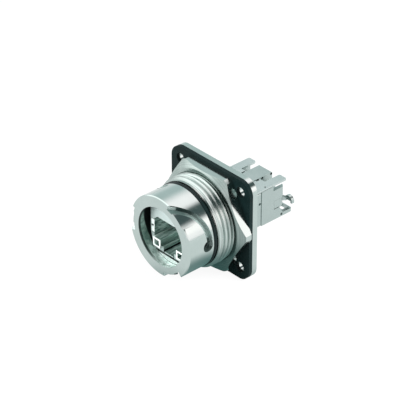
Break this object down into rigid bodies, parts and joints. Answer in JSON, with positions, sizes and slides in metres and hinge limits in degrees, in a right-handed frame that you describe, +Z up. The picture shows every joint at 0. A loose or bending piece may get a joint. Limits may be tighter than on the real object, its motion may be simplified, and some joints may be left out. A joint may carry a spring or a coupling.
{
  "type": "bulkhead ethernet socket insert",
  "caption": "Square-flange metal bulkhead socket: threaded barrel with panel nut, bayonet grooves and sealing ring, recessed modular jack, rear wiring module with latch prongs and tie tongue.",
  "frame": {"origin": "on the barrel axis, in the front face of the flange gasket, which seats on the panel", "axes": "-Y along the barrel axis towards the mating side, +Y towards the wired side, +Z up (contacts above, latch channel below), +X to the right seen from the mating side"},
  "size_m": [0.0338, 0.0439, 0.032],
  "materials": {
    "housing_nickel": "turned, bright nickel plate",
    "nut_nickel": "machined, nickel plate",
    "jack_diecast": "die-cast, satin nickel plate",
    "module_diecast": "die-cast, satin nickel plate",
    "cover_diecast": "die-cast, satin nickel plate",
    "block_diecast": "die-cast, satin nickel plate",
    "yoke_diecast": "die-cast, satin nickel plate",
    "latch_sheet": "stamped sheet, satin",
    "spring_steel": "stamped spring strip",
    "guide_nickel": "bright plated",
    "gasket_rubber": "matte black",
    "ring_rubber": "satin black",
    "carrier_plastic": "moulded, matte",
    "terminal_plastic": "moulded, matte grey",
    "contact_plating": "palladium-nickel plate",
    "terminal_bronze": "tinned bronze",
    "board_laminate": "glass laminate, solder mask"
  },
  "bodies": {
    "root": {"bulkhead_housing": "housing_nickel", "flange_gasket": "gasket_rubber", "coupling_ring": "ring_rubber", "panel_nut": "nut_nickel", "port_frame": "jack_diecast", "contact_carrier": "carrier_plastic", "contact_spring_1": "contact_plating", "contact_spring_2": "contact_plating", "contact_spring_3": "contact_plating", "contact_spring_4": "contact_plating", "contact_spring_5": "contact_plating", "contact_spring_6": "contact_plating", "contact_spring_7": "contact_plating", "contact_spring_8": "contact_plating", "shield_spring_left": "spring_steel", "shield_spring_right": "spring_steel", "latch_guide_left": "guide_nickel", "latch_guide_right": "guide_nickel", "module_body": "module_diecast", "circuit_board": "board_laminate", "latch_plate": "latch_sheet", "rear_cover": "cover_diecast", "wire_block": "block_diecast", "terminal_block": "terminal_plastic", "terminal_1": "terminal_bronze", "terminal_2": "terminal_bronze", "terminal_3": "terminal_bronze", "terminal_4": "terminal_bronze", "terminal_5": "terminal_bronze", "terminal_6": "terminal_bronze", "terminal_7": "terminal_bronze", "terminal_8": "terminal_bronze", "tie_yoke": "yoke_diecast"}
  },
  "joints": []
}
